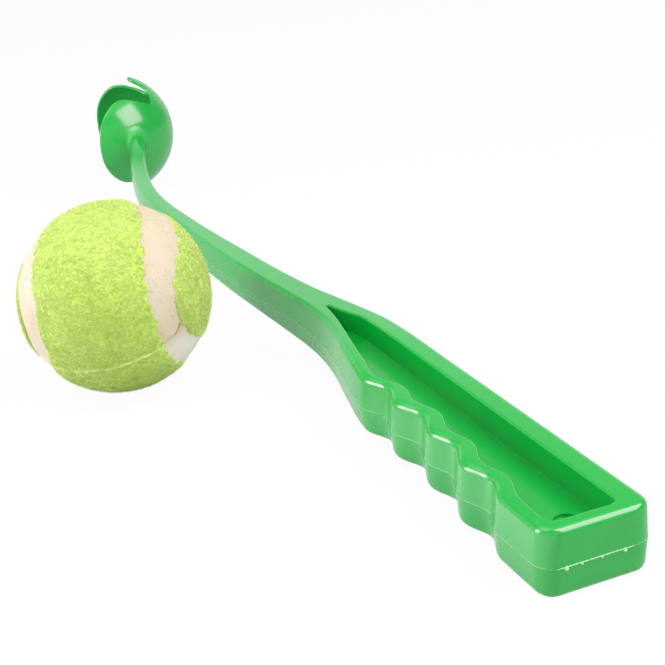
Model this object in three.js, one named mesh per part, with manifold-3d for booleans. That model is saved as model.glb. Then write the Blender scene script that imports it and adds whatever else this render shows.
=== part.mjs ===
// Tennis ball launcher: a one-piece moulded arm with a spring cup, and a felt ball beside it.
// Millimetres and degrees. X runs from the handle to the cup, Y points to the finger side
// and the mouth of the cup, Z points up. The launcher lies on its side, as it is moulded.
import * as THREE from 'three';
import { mergeVertices } from 'three/addons/utils/BufferGeometryUtils.js';
import Module from 'manifold-3d';

// Handle
const REACH = 488.6;
const HANDLE_WIDTH = 31.4;
const HANDLE_THICKNESS = 18.2;
const END_CORNER_RADIUS = 5;
const EDGE_FILLET = 2.1;
const DRAFT_BULGE = 0.5;

// Finger grip: a run of equal waves along the front of the handle
const FINGER_START = 19.7;
const FINGER_PITCH = 20.15;
const FINGER_COUNT = 4;
const FINGER_DEPTH = 3.0;
const FINGER_DEPTH_INSIDE = 2.3;
const FINGER_SHIFT_INSIDE = 2.7;

// Pockets that core the handle out from both faces, and the web between them
const WEB_THICKNESS = 4;
const END_WALL = 4.5;
const POCKET_CORNER_RADIUS = 2;
const POCKET_FLOOR_FILLET = 1.2;
const POCKET_EDGE_ROUND = 0.7;
const POCKET_DRAFT = 0.35;
const HANG_HOLE_DIAMETER = 4.4;
const HANG_HOLE_FROM_END = 13.8;

// Cup
const CUP_RADIUS = 32.4;
const CUP_WALL = 1.9;
const CUP_TURN = 13;
const CUP_SIDE_SHARE = 1.092;
const JOINT_FLARE = 4.6;
const JOINT_LEAN_FINGER = 0.75;
const JOINT_LEAN_BACK = -0.1;

// Ball
const BALL_RADIUS = 32;
const FELT_THICKNESS = 2.2;
const CORE_WALL = 3;
const SEAM_WIDTH = 9.8;
const SEAM_SINK = 0.8;
const SEAM_WAVE_SHARE = 0.146;
const BALL_ALONG_SHARE = 0.3901;
const BALL_CLEARANCE = 22.9;
const BALL_TURNS = [70.5, 61.1, 54.4];
const GAP = 0.3;

// Facets
const FINGER_STEPS = 10;
const ARM_STEPS = 30;
const CUP_STEPS = 46;
const RIM_STEPS = 102;
const PANEL_STEPS = [28, 10];
const SEAM_STEPS = 76;
const POCKET_STEPS = 10;
const HOLE_STEPS = 28;
const CORE_STEPS = 24;
const WELD_DISTANCE = 0.0001;

// Plan of the moulding. Each row: place along REACH, finger side and back side as shares of
// HANDLE_WIDTH, thickness as a share of HANDLE_THICKNESS. The arm sweeps forward to half
// way, then back to meet the cup behind its centre.
const PLAN_SHARES = [
  [0, 0.013, 1, 1],
  [0.0403, 0.013, 1, 1],
  [0.0816, 0.038, 1, 1],
  [0.123, 0.089, 1, 1],
  [0.1641, 0.096, 1, 1],
  [0.2055, 0.081, 1, 1],
  [0.2507, 0.215, 1, 1],
  [0.2814, 0.319, 0.985, 0.967],
  [0.31, 0.379, 0.918, 0.932],
  [0.3387, 0.388, 0.834, 0.891],
  [0.3715, 0.356, 0.742, 0.846],
  [0.4206, 0.299, 0.656, 0.793],
  [0.482, 0.242, 0.58, 0.744],
  [0.5536, 0.217, 0.5, 0.689],
  [0.6416, 0.204, 0.449, 0.623],
  [0.6846, 0.227, 0.468, 0.601],
  [0.7255, 0.293, 0.541, 0.585],
  [0.7624, 0.395, 0.65, 0.573],
  [0.8156, 0.586, 0.837, 0.563],
  [0.8709, 0.825, 1.07, 0.551],
  [0.9261, 1.086, 1.331, 0.541],
  [0.9629, 1.262, 1.506, 0.541],
];

// Plan of the pocket edge. Each row: place along REACH, finger side and back side as shares
// of HANDLE_WIDTH. It closes in a point where the arm begins.
const POCKET_SHARES = [
  [0.0113, 0.148, 0.753],
  [0.0386, 0.173, 0.753],
  [0.08, 0.222, 0.753],
  [0.1213, 0.272, 0.753],
  [0.1625, 0.282, 0.753],
  [0.2038, 0.225, 0.753],
  [0.2266, 0.289, 0.753],
  [0.2511, 0.363, 0.753],
  [0.2736, 0.438, 0.753],
  [0.2941, 0.506, 0.737],
  [0.3125, 0.553, 0.649],
  [0.3263, 0.579, 0.6],
];

// Rim of the cup, seen along the moulding's draw: distance across the cup from its middle
// and distance toward the mouth, both as shares of CUP_RADIUS. It runs from the tip of the
// middle tongue, round the slot, and out along the side petal to its end.
const RIM_SHARES = [
  [0, -0.336],
  [0.07, -0.35],
  [0.12, -0.395],
  [0.142, -0.463],
  [0.163, -0.545],
  [0.225, -0.633],
  [0.335, -0.685],
  [0.46, -0.678],
  [0.555, -0.605],
  [0.603, -0.505],
  [0.636, -0.395],
  [0.668, -0.245],
  [0.722, -0.07],
  [0.815, 0.08],
  [0.89, 0.19],
  [0.945, 0.255],
  [0.99, 0.278],
  [1.08, 0.282],
];

// How far the slots of the lower half go back, as a share of the upper ones
const LOWER_SLOT_SHARE = 0.35;

const wasm = await Module();
wasm.setup();

// A smooth value between stations, with the slope at each taken from its neighbours
function flow(rows, column, at) {
  const last = rows.length - 1;
  if (at <= rows[0][0]) {
    return rows[0][column];
  }
  if (at >= rows[last][0]) {
    return rows[last][column];
  }
  let i = 0;
  while (rows[i + 1][0] < at) {
    i += 1;
  }
  const slope = (k) => {
    const a = rows[Math.max(0, k - 1)];
    const b = rows[Math.min(last, k + 1)];
    return (b[column] - a[column]) / (b[0] - a[0]);
  };
  const span = rows[i + 1][0] - rows[i][0];
  const s = (at - rows[i][0]) / span;
  const rise = s * s * (3 - 2 * s);
  const start = s * (1 - s) * (1 - s) * slope(i) * span;
  const end = s * s * (1 - s) * slope(i + 1) * span;
  return rows[i][column] * (1 - rise) + rows[i + 1][column] * rise + start - end;
}

function radians(degrees) {
  return THREE.MathUtils.degToRad(degrees);
}

// Depth of the finger wave at a place along the handle, none outside the grip
function wave(along, start, depth) {
  const turns = (along - start) / FINGER_PITCH;
  if (turns <= 0 || turns >= FINGER_COUNT) {
    return 0;
  }
  return depth * 0.5 * (1 - Math.cos(2 * Math.PI * turns));
}

// How far a rounded corner of this radius stands in from the side, this far from the end
function cornerInset(radius, fromEnd) {
  const left = Math.max(0, radius - fromEnd);
  return radius - Math.sqrt(Math.max(0, radius * radius - left * left));
}

// A closed skin over a row of equal rings, each counter-clockwise seen from +X
function loft(rings) {
  const count = rings[0].length;
  const positions = [];
  const indices = [];
  for (const ring of rings) {
    for (const point of ring) {
      positions.push(point.x, point.y, point.z);
    }
  }
  for (let i = 0; i + 1 < rings.length; i += 1) {
    for (let j = 0; j < count; j += 1) {
      const a = i * count + j;
      const b = i * count + (j + 1) % count;
      indices.push(a, b, a + count);
      indices.push(b, b + count, a + count);
    }
  }
  const ends = [[0, rings[0], 1], [(rings.length - 1) * count, rings[rings.length - 1], 0]];
  for (const [first, ring, flipped] of ends) {
    const middle = new THREE.Vector3();
    for (const point of ring) {
      middle.addScaledVector(point, 1 / count);
    }
    const hub = positions.length / 3;
    positions.push(middle.x, middle.y, middle.z);
    for (let j = 0; j < count; j += 1) {
      const pair = [first + j, first + (j + 1) % count];
      indices.push(hub, pair[flipped], pair[1 - flipped]);
    }
  }
  return geometryOf(positions, indices);
}

function geometryOf(positions, indices) {
  const geometry = new THREE.BufferGeometry();
  geometry.setAttribute('position', new THREE.Float32BufferAttribute(positions, 3));
  geometry.setIndex(indices);
  return geometry;
}

function solidOf(geometry) {
  const plain = geometry.clone();
  plain.deleteAttribute('normal');
  plain.deleteAttribute('uv');
  const welded = mergeVertices(plain, WELD_DISTANCE / 10);
  const mesh = new wasm.Mesh({
    numProp: 3,
    vertProperties: new Float32Array(welded.attributes.position.array),
    triVerts: new Uint32Array(welded.index.array),
  });
  mesh.merge();
  return new wasm.Manifold(mesh);
}

function geometryOfSolid(solid) {
  const mesh = solid.getMesh();
  return geometryOf(Array.from(mesh.vertProperties), Array.from(mesh.triVerts));
}

// The launcher, built along X with its mid-plane at zero height and its back at zero side

const halfThickness = HANDLE_THICKNESS / 2;
const halfWeb = WEB_THICKNESS / 2;
const cupSide = CUP_SIDE_SHARE * HANDLE_WIDTH;
const gripEnd = FINGER_START + FINGER_PITCH * FINGER_COUNT;
const armEnd = PLAN_SHARES[PLAN_SHARES.length - 1][0] * REACH;

function planAt(along) {
  const share = along / REACH;
  const inset = cornerInset(END_CORNER_RADIUS, along);
  const thick = flow(PLAN_SHARES, 3, share);
  const drop = cornerInset(EDGE_FILLET, along);
  const ripple = wave(along, FINGER_START, FINGER_DEPTH);
  return {
    finger: flow(PLAN_SHARES, 1, share) * HANDLE_WIDTH + ripple + inset,
    back: flow(PLAN_SHARES, 2, share) * HANDLE_WIDTH - inset,
    plain: thick * halfThickness,
    half: thick * halfThickness - drop,
    thick,
  };
}

// Where the arm runs into the ball-shaped outside of the cup, and where its flare starts
const meeting = planAt(armEnd);
const meetingSide = (meeting.finger + meeting.back) / 2 - cupSide;
const flareTop = meeting.plain + JOINT_FLARE;
const flareOffset = Math.hypot(meetingSide, flareTop);
const flareBack = Math.max(0, CUP_RADIUS * CUP_RADIUS - flareOffset * flareOffset);
const flareEnd = REACH - Math.sqrt(flareBack);
const flareStart = flareEnd - JOINT_FLARE;

function flareAt(along) {
  const run = Math.min(Math.max(0, along - flareStart), JOINT_FLARE);
  return JOINT_FLARE - Math.sqrt(Math.max(0, JOINT_FLARE * JOINT_FLARE - run * run));
}

// One cross-section of the moulding: drafted sides that meet at the parting line, with
// rounded edges along the top and bottom faces
function mouldingRing(along) {
  const plan = planAt(along);
  const half = plan.half + flareAt(along);
  const round = Math.min(EDGE_FILLET * plan.thick, half * 0.9);
  const draft = DRAFT_BULGE * plan.thick;
  const quarter = [];
  for (const angle of [0, 22.5, 45, 67.5, 90]) {
    const turn = radians(angle);
    quarter.push([draft + round * (1 - Math.cos(turn)), half - round * (1 - Math.sin(turn))]);
  }
  const middle = (plan.finger + plan.back) / 2;
  const above = (height) => Math.max(0, Math.abs(height) - plan.plain);
  const onFinger = ([inset, height]) => {
    const side = plan.finger + inset + JOINT_LEAN_FINGER * above(height);
    return new THREE.Vector3(along, -Math.min(side, middle + JOINT_FLARE / 4), height);
  };
  const onBack = ([inset, height]) => {
    const side = plan.back - inset + JOINT_LEAN_BACK * above(height);
    return new THREE.Vector3(along, -Math.max(side, middle + JOINT_FLARE / 4 + GAP), height);
  };
  const under = ([inset, height]) => [inset, -height];
  const ring = [onFinger([0, 0])];
  ring.push(...quarter.map(onFinger));
  ring.push(...quarter.slice().reverse().map(onBack));
  ring.push(onBack([0, 0]));
  ring.push(...quarter.map(under).map(onBack));
  ring.push(...quarter.slice().reverse().map(under).map(onFinger));
  return ring;
}

function mouldingStations() {
  const stations = [];
  for (const angle of [0, 18, 34, 50, 66, 90]) {
    stations.push(END_CORNER_RADIUS * (1 - Math.cos(radians(angle))));
  }
  stations.push((END_CORNER_RADIUS + FINGER_START) / 2);
  for (let i = 0; i <= FINGER_COUNT * FINGER_STEPS; i += 1) {
    stations.push(FINGER_START + FINGER_PITCH * i / FINGER_STEPS);
  }
  for (let i = 1; i <= ARM_STEPS; i += 1) {
    stations.push(gripEnd + (flareStart - gripEnd) * i / ARM_STEPS);
  }
  for (const angle of [22, 42, 60, 76, 90]) {
    stations.push(flareStart + JOINT_FLARE * Math.sin(radians(angle)));
  }
  stations.push(Math.max(armEnd, flareEnd + JOINT_FLARE));
  return stations;
}

// One cross-section of the pocket cutter, from its filleted floor to its rounded edge
function pocketRing(along, start) {
  const share = along / REACH;
  const inset = cornerInset(POCKET_CORNER_RADIUS, along - start);
  const ripple = wave(along, FINGER_START - FINGER_SHIFT_INSIDE, FINGER_DEPTH_INSIDE);
  const finger = flow(POCKET_SHARES, 1, share) * HANDLE_WIDTH + ripple + inset;
  const wall = flow(POCKET_SHARES, 2, share) * HANDLE_WIDTH - inset;
  const back = Math.max(wall, finger + POCKET_EDGE_ROUND);
  const top = planAt(along).half;
  const middle = (finger + back) / 2;
  const fillet = Math.min(POCKET_FLOOR_FILLET, (back - finger) * 0.25);
  const draft = Math.min(POCKET_DRAFT, (back - finger) * 0.1);
  const edge = POCKET_EDGE_ROUND;
  const side = [];
  for (const angle of [0, 45, 90]) {
    const turn = radians(angle);
    side.push([draft + fillet * (1 - Math.sin(turn)), halfWeb + fillet * (1 - Math.cos(turn))]);
  }
  side.push([0, top - edge]);
  side.push([-0.293 * edge, top - 0.293 * edge]);
  side.push([-1.21 * edge, top + 0.088 * edge]);
  side.push([-1.21 * edge, top + EDGE_FILLET]);
  const at = (side, height) => new THREE.Vector3(along, -side, height);
  const onFinger = ([out, height]) => at(Math.min(finger + out, middle), height);
  const onBack = ([out, height]) => at(Math.max(back - out, middle), height);
  return [...side.map(onFinger), ...side.slice().reverse().map(onBack)];
}

function pocketCutter() {
  const start = END_WALL;
  const end = POCKET_SHARES[POCKET_SHARES.length - 1][0] * REACH;
  const stations = [];
  for (const angle of [0, 30, 60, 90]) {
    stations.push(start + POCKET_CORNER_RADIUS * (1 - Math.cos(radians(angle))));
  }
  const rippleStart = FINGER_START - FINGER_SHIFT_INSIDE;
  const rippleEnd = rippleStart + FINGER_PITCH * FINGER_COUNT;
  for (let i = 0; i <= FINGER_COUNT * FINGER_STEPS; i += 1) {
    stations.push(rippleStart + FINGER_PITCH * i / FINGER_STEPS);
  }
  for (let i = 1; i <= POCKET_STEPS; i += 1) {
    stations.push(rippleEnd + (end - rippleEnd) * i / POCKET_STEPS);
  }
  return loft(stations.map((along) => pocketRing(along, start)));
}

// What is cut from one half of the cup at its mouth, its slots as deep as slotShare says
function mouthBlade(slotShare) {
  const tip = RIM_SHARES[0][1];
  const right = RIM_SHARES.map(([across, out]) => {
    const reached = out < tip ? tip + (out - tip) * slotShare : out;
    return new THREE.Vector2(across, reached).multiplyScalar(CUP_RADIUS);
  });
  const left = right.slice(1).reverse().map((point) => new THREE.Vector2(-point.x, point.y));
  const far = CUP_RADIUS * 1.2;
  const outline = new THREE.Shape(new THREE.SplineCurve([...left, ...right]).getPoints(RIM_STEPS));
  outline.lineTo(right[right.length - 1].x, far);
  outline.lineTo(left[0].x, far);
  return solidOf(new THREE.ExtrudeGeometry(outline, { depth: far, bevelEnabled: false }));
}

// The spring cup: a spherical shell, cut back from its mouth into two side petals with a
// narrow tongue between them, and with shallower slots in the lower half
function cupShell() {
  const profile = [];
  const inner = CUP_RADIUS - CUP_WALL;
  const rim = 0.34 * Math.PI;
  const half = Math.round(CUP_STEPS / 2.4);
  for (let i = 0; i <= half; i += 1) {
    const polar = Math.PI - (Math.PI - rim) * i / half;
    profile.push(new THREE.Vector2(CUP_RADIUS * Math.sin(polar), CUP_RADIUS * Math.cos(polar)));
  }
  for (let i = 0; i <= half; i += 1) {
    const polar = rim + (Math.PI - rim) * i / half;
    profile.push(new THREE.Vector2(inner * Math.sin(polar), inner * Math.cos(polar)));
  }
  profile[0].x = 0;
  profile[profile.length - 1].x = 0;
  const shell = solidOf(new THREE.LatheGeometry(profile, CUP_STEPS));

  const lower = mouthBlade(LOWER_SLOT_SHARE).mirror([0, 0, 1]);
  const cut = shell.subtract(mouthBlade(1)).subtract(lower);
  return cut.rotate([0, 0, -CUP_TURN]).translate([REACH, -cupSide, 0]);
}

function launcher() {
  const stations = mouldingStations();
  let moulding = solidOf(loft(stations.map(mouldingRing)));
  const pocket = solidOf(pocketCutter());
  moulding = moulding.subtract(pocket).subtract(pocket.mirror([0, 0, 1]));

  const holeRadius = HANG_HOLE_DIAMETER / 2;
  const hole = new THREE.CylinderGeometry(holeRadius, holeRadius, HANDLE_THICKNESS, HOLE_STEPS);
  hole.rotateX(Math.PI / 2);
  hole.translate(HANG_HOLE_FROM_END, -HANDLE_WIDTH / 2, 0);
  moulding = moulding.subtract(solidOf(hole));

  const hollow = new THREE.SphereGeometry(CUP_RADIUS - CUP_WALL * 0.4, CUP_STEPS, CUP_STEPS / 2);
  hollow.translate(REACH, -cupSide, 0);
  return moulding.subtract(solidOf(hollow)).add(cupShell());
}

// Lowest point of the solid between two places along it, once tilted by this angle
function lowestAfterTilt(points, tilt, from, to) {
  let lowest = Infinity;
  for (let i = 0; i < points.length; i += 3) {
    if (points[i] >= from && points[i] <= to) {
      lowest = Math.min(lowest, points[i] * Math.sin(tilt) + points[i + 2] * Math.cos(tilt));
    }
  }
  return lowest;
}

// The launcher rests on the end of its handle and on its cup: find the tilt where both touch
function restTilt(points) {
  let low = 0;
  let high = Math.PI / 10;
  for (let i = 0; i < 40; i += 1) {
    const tilt = (low + high) / 2;
    const handle = lowestAfterTilt(points, tilt, -REACH, REACH / 4);
    const cup = lowestAfterTilt(points, tilt, REACH * 0.8, REACH * 1.2);
    if (cup < handle) {
      low = tilt;
    } else {
      high = tilt;
    }
  }
  return (low + high) / 2;
}

// The ball, built round its own centre

const feltInner = BALL_RADIUS - FELT_THICKNESS;
const coreOuter = feltInner - GAP;

// The seam's path over the ball, and a line beside it at a set distance
function seamPoint(turn) {
  const wide = 1 - SEAM_WAVE_SHARE;
  const tall = 2 * Math.sqrt(wide * SEAM_WAVE_SHARE);
  return new THREE.Vector3(
    wide * Math.cos(turn) + SEAM_WAVE_SHARE * Math.cos(3 * turn),
    wide * Math.sin(turn) - SEAM_WAVE_SHARE * Math.sin(3 * turn),
    tall * Math.sin(2 * turn),
  ).normalize();
}

function besideSeam(turn, distance) {
  const here = seamPoint(turn);
  const ahead = seamPoint(turn + 0.001).sub(seamPoint(turn - 0.001)).normalize();
  const aside = here.clone().cross(ahead);
  const angle = distance / BALL_RADIUS;
  return here.multiplyScalar(Math.cos(angle)).addScaledVector(aside, Math.sin(angle)).normalize();
}

function between(a, b, share) {
  const angle = a.angleTo(b);
  if (angle < 1e-6) {
    return a.clone();
  }
  const first = a.clone().multiplyScalar(Math.sin(angle * (1 - share)));
  return first.addScaledVector(b, Math.sin(angle * share)).normalize();
}

// A felt panel: bands between the two flanks of its waisted outline, from end to end
function feltPanel() {
  const [long, across] = PANEL_STEPS;
  const positions = [];
  const indices = [];
  const edge = SEAM_WIDTH / 2;
  for (const radius of [BALL_RADIUS, feltInner]) {
    for (let i = 0; i <= long; i += 1) {
      const turn = 0.75 * Math.PI - Math.PI * i / long;
      const left = besideSeam(turn, edge);
      const right = besideSeam(1.5 * Math.PI - turn, edge);
      for (let j = 0; j <= across; j += 1) {
        const point = between(left, right, j / across).multiplyScalar(radius);
        positions.push(point.x, point.y, point.z);
      }
    }
  }
  const row = across + 1;
  const inside = (long + 1) * row;
  const quad = (a, b, c, d) => indices.push(a, b, c, a, c, d);
  for (let i = 0; i < long; i += 1) {
    for (let j = 0; j < across; j += 1) {
      const a = i * row + j;
      quad(a, a + row, a + row + 1, a + 1);
      quad(inside + a, inside + a + 1, inside + a + row + 1, inside + a + row);
    }
    const first = i * row;
    const last = first + across;
    quad(first, inside + first, inside + first + row, first + row);
    quad(last, last + row, inside + last + row, inside + last);
  }
  return cleaned(positions, indices);
}

// The raised cement seam: a flat band that follows the seam's path all the way round
function seamBand() {
  const edge = SEAM_WIDTH / 2 - GAP;
  const outer = BALL_RADIUS - SEAM_SINK;
  const corners = [[-edge, outer], [0, outer], [edge, outer]];
  corners.push([edge, feltInner], [0, feltInner], [-edge, feltInner]);
  const positions = [];
  const indices = [];
  const count = corners.length;
  for (let i = 0; i < SEAM_STEPS; i += 1) {
    for (const [distance, radius] of corners) {
      const point = besideSeam(2 * Math.PI * i / SEAM_STEPS, distance).multiplyScalar(radius);
      positions.push(point.x, point.y, point.z);
    }
    const next = (i + 1) % SEAM_STEPS;
    for (let j = 0; j < count; j += 1) {
      const k = (j + 1) % count;
      indices.push(i * count + j, next * count + j, next * count + k);
      indices.push(i * count + j, next * count + k, i * count + k);
    }
  }
  return cleaned(positions, indices);
}

// One moulded half of the hollow rubber core
function coreHalf() {
  const inner = coreOuter - CORE_WALL;
  const profile = [];
  const steps = CORE_STEPS / 4;
  for (let i = 0; i <= steps; i += 1) {
    const polar = 0.5 * Math.PI * i / steps;
    profile.push(new THREE.Vector2(coreOuter * Math.sin(polar), coreOuter * Math.cos(polar)));
  }
  for (let i = steps; i >= 0; i -= 1) {
    const polar = 0.5 * Math.PI * i / steps;
    profile.push(new THREE.Vector2(inner * Math.sin(polar), inner * Math.cos(polar)));
  }
  profile[steps].y = 0;
  profile[steps + 1].y = 0;
  profile.reverse();
  const half = new THREE.LatheGeometry(profile, CORE_STEPS);
  half.rotateX(Math.PI / 2);
  return half;
}

// Drop the triangles that closed to a line and make every face look outward
function cleaned(positions, indices) {
  return geometryOfSolid(outward(geometryOf(positions, indices)));
}

function outward(geometry) {
  const welded = mergeVertices(geometry, WELD_DISTANCE);
  const points = welded.attributes.position;
  const kept = [];
  let volume = 0;
  const corner = [new THREE.Vector3(), new THREE.Vector3(), new THREE.Vector3()];
  for (let i = 0; i < welded.index.count; i += 3) {
    const face = [0, 1, 2].map((k) => welded.index.getX(i + k));
    if (face[0] === face[1] || face[1] === face[2] || face[2] === face[0]) {
      continue;
    }
    kept.push(face);
    face.forEach((vertex, k) => corner[k].fromBufferAttribute(points, vertex));
    volume += corner[0].dot(corner[1].clone().cross(corner[2])) / 6;
  }
  const ordered = kept.flatMap((face) => (volume > 0 ? face : [face[0], face[2], face[1]]));
  return solidOf(geometryOf(Array.from(points.array), ordered));
}

// One colour and roughness for each material of the object
function material(colour, roughness) {
  return new THREE.MeshStandardMaterial({ color: colour, roughness, metalness: 0 });
}

const greenPlastic = material(0x22a447, 0.32);
const limeFelt = material(0xb9d94f, 1);
const paleCement = material(0xe9e2d2, 0.8);
const blackRubber = material(0x2b2b2b, 0.7);

const group = new THREE.Group();
group.name = 'tennis_ball_launcher';

function addPiece(name, geometry, finish) {
  const plain = geometry.clone();
  plain.deleteAttribute('uv');
  const piece = new THREE.Mesh(plain, finish);
  piece.name = name;
  group.add(piece);
  return piece;
}

const mouldingGeometry = geometryOfSolid(launcher());
const mouldingPoints = mouldingGeometry.attributes.position.array;
const tilt = restTilt(mouldingPoints);
const floor = lowestAfterTilt(mouldingPoints, tilt, -REACH, REACH * 1.2);
mouldingGeometry.rotateY(-tilt);
mouldingGeometry.translate(0, 0, -floor);
addPiece('launcher_moulding', mouldingGeometry, greenPlastic);

const turned = new THREE.Euler(...BALL_TURNS.map(radians), 'XYZ');
const ballPlace = new THREE.Matrix4().makeRotationFromEuler(turned);
ballPlace.premultiply(new THREE.Matrix4().makeRotationY(-tilt));

const halfTurn = new THREE.Matrix4().makeRotationX(Math.PI);
const ballPieces = [
  ['ball_felt_panel_a', feltPanel(), limeFelt, false],
  ['ball_felt_panel_b', feltPanel(), limeFelt, true],
  ['ball_seam', seamBand(), paleCement, false],
  ['ball_core_half_a', coreHalf(), blackRubber, false],
  ['ball_core_half_b', coreHalf(), blackRubber, true],
];
let ballLowest = Infinity;
for (const [, geometry, , flipped] of ballPieces) {
  if (flipped) {
    geometry.applyMatrix4(halfTurn);
  }
  geometry.applyMatrix4(ballPlace);
  geometry.computeBoundingBox();
  ballLowest = Math.min(ballLowest, geometry.boundingBox.min.z);
}
const ballX = BALL_ALONG_SHARE * REACH;
const fingerSideThere = planAt(ballX).finger;
const ballY = BALL_RADIUS + BALL_CLEARANCE - fingerSideThere;
for (const [name, geometry, finish] of ballPieces) {
  geometry.translate(ballX, ballY, -ballLowest);
  addPiece(name, geometry, finish);
}

// Put the origin on the floor, under the middle of everything
const bounds = new THREE.Box3().setFromObject(group);
const centre = bounds.getCenter(new THREE.Vector3());
for (const piece of group.children) {
  piece.geometry.translate(-centre.x, -centre.y, -bounds.min.z);
}

// Where things are in the finished frame, from places along, beside and above the moulding
function placed(along, side, height) {
  const point = new THREE.Vector3(along, -side, height);
  point.applyMatrix4(new THREE.Matrix4().makeRotationY(-tilt));
  return [point.x - centre.x, point.y - centre.y, point.z - floor - bounds.min.z];
}

group.userData.tilt_degrees = THREE.MathUtils.radToDeg(tilt);
group.userData.places = {
  end_face: placed(0, HANDLE_WIDTH / 2, halfThickness / 2),
  web_face: placed(HANG_HOLE_FROM_END + 2 * HANG_HOLE_DIAMETER, HANDLE_WIDTH / 2, halfWeb),
  hang_hole: placed(HANG_HOLE_FROM_END, HANDLE_WIDTH / 2, 0),
  cup_centre: placed(REACH, cupSide, 0),
  ball_centre: [ballX - centre.x, ballY - centre.y, -ballLowest - bounds.min.z],
};

export default group;
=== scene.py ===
# %% [markdown]
# # A moulded ball launcher and its felt ball
# The launcher is one injection moulding: a handle cored out from both faces, a slim curved arm
# and a spring cup. Beside it lies a felt ball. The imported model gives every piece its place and
# size, so the finer shapes below are built in that same frame. Lengths are written in
# millimetres, and a shape is scaled to metres when it is finished.

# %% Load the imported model
import math

import bmesh
import bpy
import numpy as np
from mathutils import Matrix, Vector, noise


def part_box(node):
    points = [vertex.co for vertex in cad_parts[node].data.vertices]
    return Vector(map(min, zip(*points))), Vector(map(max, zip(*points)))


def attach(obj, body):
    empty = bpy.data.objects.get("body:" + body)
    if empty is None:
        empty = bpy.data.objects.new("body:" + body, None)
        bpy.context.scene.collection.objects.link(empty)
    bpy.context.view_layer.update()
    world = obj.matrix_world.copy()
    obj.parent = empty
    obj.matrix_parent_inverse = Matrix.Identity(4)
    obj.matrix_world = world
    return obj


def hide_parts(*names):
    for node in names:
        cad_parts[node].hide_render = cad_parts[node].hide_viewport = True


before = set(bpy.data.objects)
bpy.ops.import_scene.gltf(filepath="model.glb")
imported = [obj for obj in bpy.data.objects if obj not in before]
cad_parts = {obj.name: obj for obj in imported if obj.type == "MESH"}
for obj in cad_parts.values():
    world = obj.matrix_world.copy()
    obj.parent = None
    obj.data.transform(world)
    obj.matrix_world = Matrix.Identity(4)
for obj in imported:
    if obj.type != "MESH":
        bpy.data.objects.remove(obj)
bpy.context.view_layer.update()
MM = 0.001

# %% [markdown]
# ## The camera
# A photograph fixes the viewpoint: where the camera stood, how it was turned and how long its
# lens was. A long lens from half a metre away gives the steep taper of the handle.

# %% Camera
CAMERA_PLACE = Vector((-479.67, 130.62, 161.35)) * MM
CAMERA_TURN = [math.radians(a) for a in (70.167, 4.590, -113.927)]
camera_data = bpy.data.cameras.new("view")
camera_data.lens = 70.38
camera_data.sensor_width = 36.0
camera_data.clip_start = 0.02
camera = bpy.data.objects.new("view", camera_data)
camera.location = CAMERA_PLACE
camera.rotation_euler = CAMERA_TURN
bpy.context.scene.collection.objects.link(camera)
bpy.context.scene.camera = camera
bpy.context.scene.view_settings.view_transform = "Standard"

# %% [markdown]
# ## Writing node maths as Python
# A material is a graph of nodes, and so are the light of the room and the rule of the nap.
# Typing a graph by hand hides the sums in it, so one small class wraps a socket and lets plus,
# minus, times and divide add the Math nodes. A second class makes any other node from its
# settings and inputs, and a third adds what only a material has.

# %% A socket that can be added and multiplied
class Value:
    def __init__(self, graph, socket):
        self.graph = graph
        self.socket = socket

    def combine(self, operation, first, second):
        return self.graph.use("ShaderNodeMath", {"operation": operation}, {0: first, 1: second})

    def sibling(self, output):
        """Another output of the node that this value comes from."""
        return Value(self.graph, self.socket.node.outputs[output])

    def __add__(self, other):
        return self.combine("ADD", self, other)

    def __sub__(self, other):
        return self.combine("SUBTRACT", self, other)

    def __rsub__(self, other):
        return self.combine("SUBTRACT", other, self)

    def __mul__(self, other):
        return self.combine("MULTIPLY", self, other)

    def __truediv__(self, other):
        return self.combine("DIVIDE", self, other)

    def __rtruediv__(self, other):
        return self.combine("DIVIDE", other, self)

    __radd__ = __add__
    __rmul__ = __mul__


# %% A graph of nodes
class Graph:
    def __init__(self, tree):
        self.tree = tree

    def use(self, kind, settings=None, inputs=None, output=0):
        """Add a node: first its settings, then the values or links of its sockets."""
        node = self.tree.nodes.new(kind)
        for key, value in (settings or {}).items():
            if key == "stops":
                for place, _ in value[1:-1]:
                    node.color_ramp.elements.new(place)
                for element, (place, colour) in zip(node.color_ramp.elements, value):
                    element.position = place
                    element.color = (*colour, 1)
            else:
                setattr(node, key, value)
        for key, value in (inputs or {}).items():
            self.feed(node.inputs[key], value)
        return Value(self, node.outputs[output])

    def feed(self, socket, value):
        if isinstance(value, Value):
            self.tree.links.new(value.socket, socket)
        else:
            socket.default_value = value

    def axis(self, vector, number):
        return self.use("ShaderNodeSeparateXYZ", None, {0: vector}, number)

    def step(self, value, low, high, start=0.0, end=1.0):
        """A soft change from start to end while the value goes from low to high."""
        return self.use("ShaderNodeMapRange", {"interpolation_type": "SMOOTHSTEP"},
                        {"Value": value, "From Min": low, "From Max": high,
                         "To Min": start, "To Max": end})


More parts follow.
